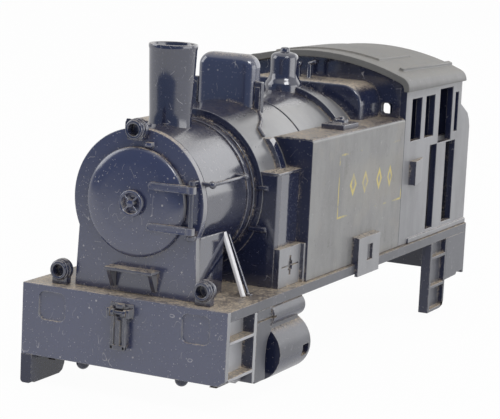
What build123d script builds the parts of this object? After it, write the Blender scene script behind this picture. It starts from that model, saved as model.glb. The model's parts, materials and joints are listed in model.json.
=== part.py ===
from build123d import *
import math
import os

# Body shell of a small tank locomotive, H0 scale, millimetres.
# Working frame: y = 0 at the face of the front beam and grows to the rear,
# z = 0 at the top of the running plate, x = 0 on the centre line.

# ---- running plate and beams
HALF_W = 17.0            # half width of the running plate and beams
LENGTH = 95.4            # front beam face to rear beam face
PLATE_T = 1.5            # running plate thickness
BEAM_T = 1.0             # front beam thickness
BEAM_DROP = 10.8         # front beam depth below the plate top
REAR_T = 1.2
REAR_DROP = 9.1
APERTURE = (9.0, 21.0, 87.0)     # half width, start, end of the chassis opening

# ---- footsteps
FRONT_FOOT = 15.2
REAR_FOOT = 13.9
TREADS = (4.4, 9.8)
REAR_TREADS = (4.0, 9.2)
TREAD_T = 0.5

# ---- boiler line
AXIS_Z = 13.55
R_SMOKE = 10.7
R_MOUTH = 6.9             # opening that the smokebox door closes
R_RING = 10.95
R_BOILER = 12.7
R_NECK = 12.15            # boiler radius at its front end
R_BAND = 13.7
WALL = 1.2
Y_FRONT = 3.3            # face of the smokebox front plate
Y_PLATE = 4.5
Y_RING = 16.9
Y_BOILER = 19.4
Y_TAPER = 28.0
Y_BAND = 49.0
Y_CAB = 64.0

# ---- tanks and cab
HALF_T = 16.35           # half width over tanks and cab
TANK_Y = 27.3
TANK_Z = 21.7
SKIN = 1.15
ROOF_R = 42.0
ROOF_TOP = 31.85         # crest at the front
ROOF_FALL = 0.45         # the crest is this much lower at the rear
ROOF_T = 1.1
ROOF_HALF = 17.3
EAVES_Z = 26.3
ROOF_Y = (62.3, 89.4)
CAB_REAR = 90.0
BUNKER_Y = 95.0

# ---- smokebox door
DOOR_R = 8.0
DOOR_BACK = 3.1
DOOR_RIM = 2.7
DOOR_FACE = 1.75
HINGE_X = 9.4
HINGE_Y = 1.95
PIN_R = 0.36
PIN_BORE = 0.42
SPINDLE_R = 0.50
SPINDLE_BORE = 0.56

# ---- lamps
LAMP_R = 1.38
LAMP_BORE = 0.9
LAMP_DEPTH = 1.6

# ---- fixing bosses for the chassis screws
BOSS_R = 2.4
BOSS_BORE = 0.95
BOSS_LEN = 6.0
BOSS_Y = (12.0, 90.4)

# ---- coupling
LINK_Y = -0.95
LINK_Z = -2.1

parts = {}


def block(x0, x1, y0, y1, z0, z1):
    size = Box(x1 - x0, y1 - y0, z1 - z0)
    return Pos((x0 + x1) / 2, (y0 + y1) / 2, (z0 + z1) / 2) * size


def bar_y(radius, y0, y1, x=0.0, z=AXIS_Z):
    return Pos(x, (y0 + y1) / 2, z) * Rot(90, 0, 0) * Cylinder(radius, y1 - y0)


def bar_z(radius, z0, z1, x=0.0, y=0.0):
    return Pos(x, y, (z0 + z1) / 2) * Cylinder(radius, z1 - z0)


def bar_x(radius, x0, x1, y=0.0, z=0.0):
    return Pos((x0 + x1) / 2, y, z) * Rot(0, 90, 0) * Cylinder(radius, x1 - x0)


def strut(start, end, radius):
    a = Vector(*start)
    b = Vector(*end)
    line = b - a
    middle = a + line * 0.5
    return Plane(origin=middle, z_dir=line.normalized()) * Cylinder(radius, line.length)


def prism_y(points, y0, y1):
    """Solid with a profile of (x, z) corners, running from y0 to y1."""
    face = Plane(origin=(0, y0, 0), x_dir=(1, 0, 0), z_dir=(0, -1, 0)) * make_face(
        Polyline(*points, close=True).edges())
    return extrude(face, -(y1 - y0))


def prism_x(points, x0, x1):
    """Solid with a profile of (y, z) corners, running from x0 to x1."""
    face = Plane(origin=(x0, 0, 0), x_dir=(0, 1, 0), z_dir=(1, 0, 0)) * make_face(
        Polyline(*points, close=True).edges())
    return extrude(face, x1 - x0)


def turn_z(points, x=0.0, y=0.0):
    """Round piece about a vertical axis, from (radius, z) corners."""
    face = Plane.XZ * make_face(Polyline(*points, close=True).edges())
    return Pos(x, y, 0) * revolve(face, Axis.Z)


def other_side(shape):
    return mirror(shape, about=Plane.YZ)


def keep(name, shape):
    parts[name] = list(shape.solids())


def both(name, shape):
    keep(name + "_near", shape)
    keep(name + "_far", other_side(shape))


# The boiler narrows a little towards the smokebox.
boiler_core = bar_y(R_BOILER, Y_TAPER, 70)
taper = Cone(R_NECK, R_BOILER, Y_TAPER - Y_BOILER)
boiler_core += Pos(0, (Y_BOILER + Y_TAPER) / 2, AXIS_Z) * Rot(-90, 0, 0) * taper

# ================= running plate =================
half_a, ya, yb = APERTURE
plate = block(-HALF_W, HALF_W, BEAM_T, LENGTH - REAR_T, -PLATE_T, 0)
plate -= block(-half_a, half_a, ya, yb, -5, 5)
keep("running_plate", plate)

# ================= front beam =================
beam = block(-HALF_W, HALF_W, 0, BEAM_T, -BEAM_DROP, 0)
socket = block(9.7, 14.2, -1, 0.35, -5.2, -0.95)
socket = fillet(socket.edges().filter_by(Axis.Y), 1.0)
beam -= socket
beam -= other_side(socket)
beam -= prism_y([(17.1, -9.9), (17.1, -11.0), (15.5, -11.0)], -1, 3)
keep("front_beam", beam)

lug = bar_z(1.0, -11.6, -PLATE_T, 8.3, 3.4) + Pos(8.3, 3.4, -11.6) * Sphere(1.0)
keep("front_lugs", lug + other_side(lug))

# ================= rear beam with its side returns =================
rear = block(-HALF_W, HALF_W, LENGTH - REAR_T, LENGTH, -REAR_DROP, 0)
rear = fillet(rear.edges().filter_by(Axis.Z).sort_by(Axis.Y)[-2:], 0.8)
cheek = prism_x([(85.6, -PLATE_T), (85.6, -REAR_DROP), (91.0, -REAR_DROP + 0.1),
                 (91.4, -REAR_DROP + 0.5), (LENGTH - REAR_T, -REAR_DROP + 0.5),
                 (LENGTH - REAR_T, -PLATE_T)], 15.6, HALF_W)
keep("rear_beam", rear + cheek + other_side(cheek))

# ================= footsteps =================
back_x = 15.15


def front_step(whole):
    foot = -FRONT_FOOT
    inside = back_x if whole else back_x - 0.6
    outline = [(BEAM_T, -PLATE_T), (BEAM_T, foot), (8.0, foot), (8.9, foot + 0.4),
               (9.4, foot + 1.3), (9.6, foot + 2.6), (9.6, -PLATE_T)]
    piece = prism_x(outline, inside, inside + 0.6)
    piece += block(inside, HALF_W, 8.7, 9.6, foot + 2.6, -PLATE_T)
    piece += block(inside, HALF_W, 8.0, 8.9, foot + 0.4, foot + 2.6)
    for depth in TREADS:
        piece += block(back_x, HALF_W, BEAM_T, 8.7, -depth - TREAD_T, -depth)
    piece += block(inside, HALF_W, BEAM_T, 8.0, foot, foot + TREAD_T)
    corner = block(inside, HALF_W, 0, BEAM_T, foot, -BEAM_DROP)
    piece += fillet(corner.edges().filter_by(Axis.Y).group_by(Axis.Z)[0], 0.5)
    if not whole:
        ragged = [(-1, -10.3), (0.6, -10.4), (1.4, -10.75), (2.4, -10.7), (4.4, -11.35), (5.2, -11.3),
                  (7.2, -11.9), (8.2, -11.75), (9.0, -12.0), (10.5, -11.9), (10.5, -20), (-1, -20)]
        piece -= prism_x(ragged, 10, 20)
    return piece


keep("front_step_near", front_step(False))
keep("front_step_far", other_side(front_step(True)))

step_in = 15.25
rear_step = prism_x([(78.0, -PLATE_T), (78.0, -REAR_FOOT), (83.8, -REAR_FOOT),
                     (85.2, -REAR_FOOT + 0.5), (85.6, -REAR_FOOT + 1.4), (85.6, -PLATE_T)],
                    step_in, HALF_W)
levels = (-PLATE_T,) + tuple(-d for d in REAR_TREADS) + (-REAR_FOOT + 0.5,)
for upper, lower in zip(levels[:-1], levels[1:]):
    top = upper if upper == -PLATE_T else upper - TREAD_T
    rear_step -= block(HALF_W - 0.95, HALF_W + 1, 78.8, 85.0, lower, top)
both("rear_step", rear_step)

# ================= smokebox =================
front = bar_y(R_SMOKE, Y_FRONT, Y_PLATE)
front += prism_y([(-10.1, 0), (10.1, 0), (9.7, 9.05), (-9.7, 9.05)], Y_FRONT, Y_PLATE)
front -= bar_y(R_MOUTH, Y_FRONT - 1, Y_PLATE + 1)
front += block(1.2, 2.3, 2.4, Y_FRONT, 21.75, 22.4)
keep("smokebox_front", front)

barrel = bar_y(R_SMOKE, Y_PLATE, Y_RING) - bar_y(R_SMOKE - WALL, Y_PLATE, Y_RING)
keep("smokebox_barrel", barrel)

ring = bar_y(R_RING, Y_RING, Y_BOILER) - bar_y(R_RING + 1, 18.2, 18.8)
ring += bar_y(R_RING - 0.45, Y_RING, Y_BOILER)
ring -= bar_y(R_SMOKE - WALL, Y_RING - 1, Y_BOILER + 1)
keep("smokebox_ring", ring)

saddle = block(-9.8, 9.8, Y_PLATE, 12.0, 0, AXIS_Z) - block(-8.6, 8.6, Y_PLATE, 10.8, -1, AXIS_Z + 1)
saddle -= bar_y(R_SMOKE, 0, 30)
keep("smokebox_saddle", saddle)

# ================= boiler =================
boiler = boiler_core & block(-20, 20, Y_BOILER, Y_CAB, -5, 40)
boiler -= bar_y(R_BOILER - WALL, Y_BOILER + WALL, 80)
boiler -= bar_y(R_SMOKE - WALL, 0, 80)
boiler -= block(-20, 20, 26.0, 80, -5, 9.0)
boiler -= bar_y(R_BOILER + 1, 35.95, 36.4) - bar_y(R_BOILER - 0.4, 35.9, 36.5)
keep("boiler_barrel", boiler)

band = bar_y(R_BAND, Y_BAND, 52.0) & block(-20, 20, 40, 60, TANK_Z, 40)
keep("boiler_band", band - boiler_core)

# A cross wall closes the gap under the boiler, ahead of the opening for the motor.
wall = block(-14.45, 14.45, Y_BOILER, 20.8, 0, 17.0) - boiler_core
rails = block(10.0, 12.95, Y_BOILER - 0.3, Y_BOILER, 14.65, 15.25)
rails += block(10.0, 12.95, Y_BOILER - 0.3, Y_BOILER, 8.4, 9.0)
wall += rails + other_side(rails) - bar_y(R_RING, Y_RING, Y_BOILER)
keep("frame_wall", wall)

hump = block(-11.5, 11.5, 56.0, Y_CAB, TANK_Z, 27.4)
hump = fillet(hump.edges().filter_by(Axis.Y).sort_by(Axis.Z)[-2:], 3.6)
hump = fillet(hump.edges().group_by(Axis.Y)[0].sort_by(Axis.Z)[1:], 0.5)
hump -= boiler_core
keep("firebox_casing", hump)

# ================= chimney =================
chimney = turn_z([(2.3, 22.0), (3.3, 22.0), (3.2, 24.2), (3.14, 24.8), (3.16, 26.0), (3.55, 35.2),
                  (3.62, 35.35), (3.62, 35.9), (3.05, 35.9), (2.3, 26.0)], 0, 12.05)
chimney -= bar_y(R_SMOKE, 0, 40)
chimney -= bar_y(R_RING, Y_RING, 40)
keep("chimney", chimney)

# ================= sand dome =================
sand = block(-4.9, 4.9, 28.7, 32.1, 22.0, 33.4)
sand = fillet(sand.edges().filter_by(Axis.Y).sort_by(Axis.Z)[-2:], 2.1)
sand = fillet(sand.edges().group_by(Axis.Y)[0].sort_by(Axis.Z)[1:], 1.1)
sand = fillet(sand.edges().group_by(Axis.Y)[-1].sort_by(Axis.Z)[1:], 0.9)
sand -= boiler_core
keep("sand_dome", sand)

valve = block(4.9, 6.1, 29.5, 30.6, 22.0, 29.4) - boiler_core
pipe = None
route = [(5.7, 29.75, 25.0), (7.3, 27.6, 24.05), (8.45, 24.6, 23.0), (9.5, 24.1, 22.1)]
for start, end in zip(route[:-1], route[1:]):
    run = strut(start, end, 0.28) + Pos(*end) * Sphere(0.28)
    pipe = run if pipe is None else pipe + run
pipe -= boiler_core
pipe &= block(0, 20, 0, 60, TANK_Z, 40)
both("sand_valve", valve + pipe)

# ================= safety valve casing and whistles =================
casing = turn_z([(0, 24.0), (3.1, 24.0), (3.1, 27.3), (2.6, 27.9), (2.27, 28.8), (2.27, 31.4),
                 (2.0, 31.95), (1.5, 32.25), (0.75, 32.4), (0.75, 32.9), (0.5, 33.1), (0, 33.1)], 0, 50.3)
casing -= bar_y(R_BAND, 30, 52.0)
casing -= boiler_core
keep("safety_valve", casing)

whistle = bar_z(0.45, 27.4, 29.7, -2.2, 60.6) + bar_z(0.62, 29.3, 29.9, -2.2, 60.6)
whistle += bar_z(0.4, 27.4, 30.0, -0.2, 60.6) + strut((-0.2, 60.6, 29.8), (1.1, 60.4, 30.2), 0.34)
keep("whistle", whistle)

# ================= side tanks =================
tank = block(HALF_T - SKIN - 0.1, HALF_T, TANK_Y, Y_CAB, 0, TANK_Z)
tank += block(9.0, HALF_T, TANK_Y, Y_CAB, TANK_Z - SKIN, TANK_Z)
tank += block(9.0, HALF_T, TANK_Y, TANK_Y + SKIN, 0, TANK_Z)
tank = fillet(tank.edges().filter_by(Axis.Y).sort_by(lambda e: e.center().X + e.center().Z)[-1:], 0.5)
both("side_tank", tank - boiler_core)

filler = block(11.0, 14.9, 41.7, 47.6, TANK_Z, TANK_Z + 0.85)
filler += bar_z(1.15, TANK_Z + 0.85, TANK_Z + 1.35, 12.7, 45.6)
filler += bar_z(0.5, TANK_Z + 1.35, TANK_Z + 1.75, 12.7, 45.6)
both("tank_filler", filler)

lower_box = prism_y([(HALF_T, -0.0), (HALF_T, 4.5), (17.55, 4.3), (17.55, -1.9), (HALF_W, -1.9),
                     (HALF_W, -0.0)], 44.4, 53.0)
lower_box -= block(17.0, 18, 48.0, 50.1, 0.3, 2.9)
both("lower_step_box", lower_box)

upper_box = Pos(0, 0, 10.2) * extrude(make_face(Polyline(
    (HALF_T, 66.9), (17.6, 66.9), (17.55, 68.0), (HALF_T + 0.15, 72.6), (HALF_T, 72.6),
    close=True).edges()), 4.1)
both("upper_step_box", upper_box)

# ================= steam column, fairing and chest =================
column = block(8.5, 14.45, 20.8, TANK_Y, 6.0, 17.0) + block(8.5, 14.7, Y_BOILER, TANK_Y, 17.0, 17.35)
rib = bar_y(13.3, 24.1, 25.8) & block(0, 20, 20, 30, 17.35, TANK_Z)
both("steam_column", column + rib - boiler_core - bar_y(R_RING, Y_RING, Y_BOILER))

chest = block(8.2, 15.4, Y_BOILER, 26.7, 0, 6.0) + block(12.0, 16.0, 26.7, TANK_Y, 0, 6.0)
chest -= block(-20, 14.45, 19.0, 20.8, 0, 17.0)
chest -= boiler_core
chest -= block(15.1, 17, 20.4, 26.2, 3.0, 3.2)
chest -= block(14.9, 17, 22.6, 24.0, 2.4, 3.8)
chest -= block(14.9, 17, 23.0, 23.6, 1.6, 4.6)
both("valve_chest", chest)

# ================= cylinders =================
cyl = block(10.5, HALF_W, 9.6, 14.6, -12.15, -PLATE_T)
cyl -= prism_x([(14.6, -4.9), (14.1, -5.4), (13.2, -6.4), (12.85, -8.2), (12.85, -10.2),
                (13.0, -11.7), (13.0, -13), (15, -13), (15, -4.9)], 15.0, 20)
cyl += bar_y(4.4, 14.6, 25.2, 14.2, -8.75) + bar_y(1.75, 14.6, 25.2, 15.65, -3.0)
cyl += block(10.5, 16.6, 14.6, 24.4, -8.6, -PLATE_T)
cyl += prism_x([(3.0, -11.9), (9.7, -11.9), (9.7, -11.2), (6.0, -11.2)], 13.0, 14.2)
cyl &= block(0, 30, 0, 60, -20, -PLATE_T)
cyl -= block(HALF_W - 0.3, 20, 9.7, 15.3, -3.2, -2.85)
cyl -= block(HALF_W - 0.4, 20, 14.1, 14.5, -2.4, -1.8) + block(HALF_W - 0.4, 20, 14.1, 14.5, -4.4, -3.9)
cyl -= block(17.2, 20, 22.5, 24.5, -10.4, -8.6)
cyl -= front_step(True)
both("cylinder", cyl)

# ================= smokebox stays =================
head = Vector(9.3, 12.5, 9.3)
foot = Vector(13.75, 11.3, -0.4)
lean = Plane(origin=(head + foot) * 0.5, x_dir=(0, 1, 0), z_dir=(head - foot).normalized())
stay = lean * Box(0.85, 0.5, (head - foot).length)
stay += strut((9.1, 14.7, 8.4), (14.05, 12.5, -0.4), 0.22)
stay += block(13.3, 14.4, 12.2, 13.0, 0, 0.3)
stay -= bar_y(R_SMOKE, 0, Y_RING)
stay -= bar_y(R_RING, Y_RING, Y_BOILER)
stay -= block(-20, 20, 0, 40, -5, 0)
stay -= saddle
both("smokebox_stay", stay)

# ================= handrails =================
rail_z = 17.2
rail = bar_y(0.28, 3.6, 15.0, 11.6, rail_z) + Pos(11.6, 4.0, rail_z) * Sphere(0.55)
rail += bar_x(0.3, 9.0, 11.6, 4.0, rail_z) + bar_x(0.34, 9.0, 11.6, 14.4, rail_z)
rail += Pos(11.6, 14.4, rail_z) * Sphere(0.5)
rail -= bar_y(R_SMOKE, 0, Y_RING)
keep("handrail", rail)

# ================= smokebox door =================
rim = Polyline((0, DOOR_BACK), (DOOR_R, DOOR_BACK), (DOOR_R, DOOR_RIM))
dome = ThreePointArc((DOOR_R, DOOR_RIM), (DOOR_R * 0.52, DOOR_FACE + 0.24), (0, DOOR_FACE))
shut = Line((0, DOOR_FACE), (0, DOOR_BACK))
door_face = make_face(rim.edges() + [dome.edge(), shut.edge()])
door = Pos(0, 0, AXIS_Z) * revolve(door_face, Axis.Y)
door -= bar_y(SPINDLE_BORE, 0, 4)
keep("smokebox_door", door)

straps = None
for low, high in ((15.85, 16.95), (9.9, 11.0)):
    middle = (low + high) / 2
    one = block(3.0, HINGE_X, 1.5, 2.5, low, high)
    one += Pos(3.0, 2.0, middle) * Rot(90, 0, 0) * Cylinder((high - low) / 2, 1.0)
    one += bar_z(0.65, low, high, HINGE_X, HINGE_Y)
    one -= bar_z(PIN_BORE, low - 1, high + 1, HINGE_X, HINGE_Y)
    straps = one if straps is None else straps + one
keep("hinge_straps", straps - door)

post = bar_z(PIN_R, 9.1, 17.75, HINGE_X, HINGE_Y)
for low, high in ((17.1, 17.75), (9.1, 9.75)):
    post += bar_z(0.55, low, high, HINGE_X, HINGE_Y)
    post += block(HINGE_X - 0.4, HINGE_X + 0.4, HINGE_Y, Y_FRONT, low, high)
keep("hinge_post", post)

wheel = bar_y(1.95, 0.95, 1.4) - bar_y(1.45, 0, 3)
wheel += bar_y(0.6, 0.75, 1.45) + bar_y(SPINDLE_R, 1.0, 3.0)
spoke = block(-1.6, 1.6, 1.02, 1.35, AXIS_Z - 0.2, AXIS_Z + 0.2)
wheel += spoke
wheel += Pos(0, 0, AXIS_Z) * Rot(0, 90, 0) * Pos(0, 0, -AXIS_Z) * spoke
keep("door_handwheel", wheel)

# ================= smokebox step =================
step = block(-4.0, 4.0, 0.9, Y_FRONT, 3.4, 3.9)
gusset = prism_x([(1.3, 3.4), (Y_FRONT, 3.4), (Y_FRONT, 0.7), (2.7, 0.7)], 3.1, 3.75)
keep("smokebox_step", step + gusset + other_side(gusset))

# ================= lamps =================
def lamp(x, z, y0, foot):
    body = bar_y(LAMP_R, y0, y0 + 1.9, x, z) + bar_y(LAMP_R + 0.14, y0 + 0.4, y0 + 0.8, x, z)
    body += bar_y(LAMP_R + 0.24, y0 + 1.1, y0 + 1.9, x, z)
    body += block(x - 1.3, x + 1.2, y0 + 0.6, y0 + 1.9, foot, z)
    return body - bar_y(LAMP_BORE, y0 - 1, y0 + LAMP_DEPTH, x, z) - front


for name, side in (("lamp_near", 1), ("lamp_far", -1)):
    keep(name, lamp(side * 11.9, 2.15, 1.3, 0.0))
top_lamp = lamp(-0.1, 24.15, 1.2, 22.6)
top_lamp += block(-0.9, 0.9, 2.6, Y_FRONT, 22.9, 24.4)
top_lamp += block(-0.9, 0.9, 2.6, 5.0, 24.0, 25.0) - bar_y(R_SMOKE, 0, 40)
keep("lamp_top", top_lamp - bar_y(LAMP_BORE, 0, 1.2 + LAMP_DEPTH, -0.1, 24.15) - front)

# ================= coupling =================
hook = block(-1.9, 1.9, -0.25, 0, -2.9, -0.9)
for side in (1, -1):
    hook += block(min(side * 1.4, side * 1.85), max(side * 1.4, side * 1.85),
                  -1.5, 0, -2.7, -1.5)
hook += block(-0.5, 0.5, -1.1, 0, -1.45, -0.9)
hook += bar_x(0.30, -1.6, 1.6, LINK_Y, LINK_Z)
keep("coupling_hook", hook)

link = block(-1.25, 1.25, -1.25, -0.65, -7.6, -6.9) + block(-0.3, 0.3, -1.2, -0.7, -7.0, -3.2)
for side in (1, -1):
    low, high = sorted((side * 0.75, side * 1.25))
    link += block(low, high, -1.25, -0.65, -7.5, LINK_Z)
    link += bar_x(0.55, low, high, LINK_Y, LINK_Z)
link -= bar_x(0.35, -3, 3, LINK_Y, LINK_Z)
keep("coupling_link", link)

# ================= roof =================
def roof_section(y, rise, half, low, corner):
    """Arched section at y, with its top corners rounded."""
    crest = ROOF_TOP + rise - ROOF_FALL * (y - ROOF_Y[0]) / (ROOF_Y[1] - ROOF_Y[0])
    radius = ROOF_R + rise
    edge = crest - radius + math.sqrt(radius ** 2 - half ** 2)
    walls = Polyline((-half, edge), (-half, low), (half, low), (half, edge))
    arch = ThreePointArc((-half, edge), (0, crest), (half, edge))
    face = make_face(walls.edges() + [arch.edge()])
    tops = face.vertices().sort_by(Axis.Y)[-2:]
    rounded = fillet(tops, corner)
    return Plane(origin=(0, y, 0), x_dir=(1, 0, 0), z_dir=(0, -1, 0)) * rounded


def roof_body(rise, half, low, corner, y0, y1):
    return loft([roof_section(y, rise, half, low, corner) for y in (y0, y1)], ruled=True)


y0, y1 = ROOF_Y
inner = roof_body(-ROOF_T, HALF_T, 20.0, 1.1, 60, 92)
under = roof_body(-0.3, HALF_T, 20.0, 1.1, 60, 92)
roof = roof_body(0, ROOF_HALF, EAVES_Z, 1.9, y0, y1) - inner
roof += roof_body(0.28, 9.7, 29.5, 0.25, 67.0, 81.0) - under
rib = roof_body(0.4, 14.4, 28.0, 0.15, 66.5, y1) - block(-13.6, 13.6, 60, 95, 20, 40)
roof += rib - under
keep("cab_roof", roof)

# ================= cab =================
above = block(-20, 20, 60, 92, 21, 40) - inner
outline = [(Y_CAB, 0), (Y_CAB, 30), (CAB_REAR, 30), (CAB_REAR, 22.1), (91.5, 21.3), (93.6, 20.2),
           (94.5, 19.0), (BUNKER_Y, 17.6), (BUNKER_Y, 0)]
side = prism_x(outline, HALF_T - SKIN, HALF_T) - above
for ya, yb, za, zb in ((66.7, 71.1, 17.6, 24.7), (73.0, 77.1, 17.6, 24.7), (79.5, 85.6, 16.1, 25.4),
                       (87.0, 88.5, 17.4, 24.3), (76.0, 79.2, 1.3, 16.0), (83.6, 88.0, 1.6, 15.8)):
    side -= block(10, 20, ya, yb, za, zb)
side += block(HALF_T, HALF_T + 0.3, 67.6, BUNKER_Y, 0, 0.9)
both("cab_side", side)

panel = block(13.6, 14.4, 75.2, 88.6, 0, 16.6)
both("cab_panel", panel)

cab_front = block(-(HALF_T - SKIN), HALF_T - SKIN, Y_CAB, Y_CAB + 1.1, 17.5, 40) - above
window = block(11.85, 13.75, 60, 70, 22.2, 24.0)
window = fillet(window.edges().filter_by(Axis.Y), 0.5)
cab_front -= window
cab_front -= other_side(window)
cab_front -= bar_y(R_BOILER - WALL, 60, 70)
keep("cab_front", cab_front)

cab_rear = block(-(HALF_T - SKIN), HALF_T - SKIN, CAB_REAR - 1.1, CAB_REAR, 0, 40) - above
rear_window = block(-3.2, 3.2, 80, 95, 16.8, 21.0)
rear_window = fillet(rear_window.edges().filter_by(Axis.Y), 0.8)
cab_rear -= rear_window
cab_rear -= block(-8.5, 8.5, 80, 95, -1, 12.0)
keep("cab_rear", cab_rear)

bunker = block(-(HALF_T - SKIN), HALF_T - SKIN, BUNKER_Y - 1.1, BUNKER_Y, 0, 14.5)
bunker += block(-(HALF_T - SKIN), HALF_T - SKIN, CAB_REAR, BUNKER_Y - 1.0, 12.0, 13.1)
keep("coal_bunker", bunker)

# ================= fixing bosses =================
bosses = []
for y in BOSS_Y:
    tube = bar_z(BOSS_R, -PLATE_T - BOSS_LEN, -PLATE_T, 0, y)
    bosses.append(tube - bar_z(BOSS_BORE, -20, 0, 0, y))
keep("chassis_bosses", bosses[0] + bosses[1])

# ================= one frame, then out =================
boxes = [solid.bounding_box() for solids in parts.values() for solid in solids]
low = [min(tuple(b.min)[i] for b in boxes) for i in range(3)]
high = [max(tuple(b.max)[i] for b in boxes) for i in range(3)]
shift = (-(low[0] + high[0]) / 2, -(low[1] + high[1]) / 2, -low[2])
os.makedirs("parts", exist_ok=True)
place = Location(shift)
for name, solids in parts.items():
    placed = [solid.moved(place) for solid in solids]
    export_step(placed[0] if len(placed) == 1 else Compound(placed), f"parts/{name}.step")
print("nodes", len(parts))
print("size", [round(high[i] - low[i], 3) for i in range(3)])
print("shift", [round(v, 4) for v in shift])
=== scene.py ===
# %% [markdown]
# # A black plastic tank-engine body
# The object is the body shell of a small H0 tank locomotive, moulded in black plastic and much handled.
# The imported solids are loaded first, and they fix every place and size. What follows gives them looks:
# the big plain walls keep their CAD shape and get softened edges, and the turned and carved fittings are
# modelled again by hand from primitives, because that is where a moulding shows its detail.

# %% Load the frame
import json
import math
import random
import bmesh
import bpy
from mathutils import Matrix, Vector


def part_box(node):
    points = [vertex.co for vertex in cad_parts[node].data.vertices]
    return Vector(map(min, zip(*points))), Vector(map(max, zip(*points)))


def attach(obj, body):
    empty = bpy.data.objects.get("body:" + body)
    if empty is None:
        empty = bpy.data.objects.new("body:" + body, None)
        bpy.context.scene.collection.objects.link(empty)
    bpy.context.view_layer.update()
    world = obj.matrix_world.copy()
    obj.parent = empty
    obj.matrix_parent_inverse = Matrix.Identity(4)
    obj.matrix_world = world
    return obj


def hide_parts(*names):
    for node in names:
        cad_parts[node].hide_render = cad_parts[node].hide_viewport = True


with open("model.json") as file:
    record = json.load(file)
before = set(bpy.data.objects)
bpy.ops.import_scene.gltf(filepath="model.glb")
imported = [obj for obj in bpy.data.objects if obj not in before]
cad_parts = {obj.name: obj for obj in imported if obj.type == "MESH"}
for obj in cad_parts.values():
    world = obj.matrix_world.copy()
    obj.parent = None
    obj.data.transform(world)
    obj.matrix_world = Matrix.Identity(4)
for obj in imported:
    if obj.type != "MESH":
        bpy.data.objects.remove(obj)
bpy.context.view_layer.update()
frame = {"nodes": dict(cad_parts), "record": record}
beam_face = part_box("front_beam")[0][1]
plate_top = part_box("running_plate")[1][2]
DATUM = Vector((0, beam_face, plate_top))
print("front beam face and plate top at", [round(v, 5) for v in DATUM])

# %% [markdown]
# All sizes below are in millimetres from the face of the front beam (y) and the top of the running plate
# (z), which is how a modelmaker would measure the shell. `place` turns such a point into metres in the
# shared frame, and `local` turns a mesh point back.

# %% Places
MM = 0.001
PER_METRE = 1000


def place(x, y, z):
    """A point in millimetres, as metres in the frame."""
    return Vector((x, y, z)) * MM + DATUM


def local(point):
    """A mesh point, back from metres in the frame to millimetres."""
    return (Vector(point) - DATUM) * PER_METRE


# %% [markdown]
# Operators act on whatever is selected, so every step first chooses its piece, and then picks faces or edges
# by a test on their place or direction. `middle` and `run` are what most tests ask for.

# %% Selection
def clear():
    """Leaves edit mode, with nothing selected."""
    if bpy.context.object and bpy.context.object.mode != "OBJECT":
        bpy.ops.object.mode_set(mode="OBJECT")
    bpy.ops.object.select_all(action="DESELECT")


def choose(*pieces):
    clear()
    for piece in pieces:
        piece.select_set(True)
    bpy.context.view_layer.objects.active = pieces[0]


def edit(piece, kind="EDGE"):
    choose(piece)
    bpy.ops.object.mode_set(mode="EDIT")
    bpy.ops.mesh.select_mode(type=kind)


def done():
    bpy.ops.object.mode_set(mode="OBJECT")


def pick(piece, kind, test):
    """Selects the faces or edges for which test(item) is true, in edit mode."""
    edit(piece, {"faces": "FACE", "edges": "EDGE"}[kind])
    bpy.ops.mesh.select_all(action="DESELECT")
    mesh = bmesh.from_edit_mesh(piece.data)
    for item in getattr(mesh, kind):
        if test(item):
            item.select_set(True)
    mesh.select_flush_mode()
    bmesh.update_edit_mesh(piece.data)


def middle(item):
    """The middle of a face or edge, in millimetres."""
    return local(sum((v.co for v in item.verts), Vector()) / len(item.verts))


def run(edge):
    """The direction in which an edge runs."""
    return (edge.verts[1].co - edge.verts[0].co).normalized()


print("selection ready")

# %% [markdown]
# A finished piece lies at the origin, unturned and unscaled, with its place in its mesh: `settle` sees to
# that. The other helpers are the last steps of nearly every piece: a fine bevel on the sharp edges, smooth
# shading up to an angle, even shading of big flat faces, and faces that all point outwards.

# %% The last steps of a piece
SHARP = math.radians(32)
WELD = 1e-6


def settle(piece):
    choose(piece)
    bpy.ops.object.transform_apply(location=True, rotation=True, scale=True)


def apply_modifier(piece, modifier):
    choose(piece)
    bpy.ops.object.modifier_apply(modifier=modifier.name)


def soften_edges(piece, width, segments=2, clamp=True):
    modifier = piece.modifiers.new("Edges", "BEVEL")
    modifier.width = width * MM
    modifier.segments = segments
    modifier.limit_method = "ANGLE"
    modifier.angle_limit = SHARP
    modifier.use_clamp_overlap = clamp
    apply_modifier(piece, modifier)


def smooth(piece, angle=38):
    choose(piece)
    bpy.ops.object.shade_smooth_by_angle(angle=math.radians(angle))


def even_shading(piece):
    """Keeps big flat faces evenly shaded up to their softened edges."""
    modifier = piece.modifiers.new("Shading", "WEIGHTED_NORMAL")
    modifier.mode = "FACE_AREA"
    modifier.keep_sharp = True
    apply_modifier(piece, modifier)


def outwards(piece):
    edit(piece)
    bpy.ops.mesh.select_all(action="SELECT")
    bpy.ops.mesh.remove_doubles(threshold=WELD)
    bpy.ops.mesh.normals_make_consistent(inside=False)
    done()


def weld(name, pieces):
    """Joins several shapes into one piece."""
    choose(*pieces)
    bpy.ops.object.join()
    piece = bpy.context.object
    piece.name = name
    return piece


print("last steps ready")

# %% [markdown]
# ## Shader maths
# A small class wraps a socket so that masks can be written as expressions: `mask * 0.5 + other` adds the
# Math nodes by itself, and `1 - mask` works too. Every node comes from one method that takes the node's
# type, its settings and the values or links of its sockets.

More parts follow.
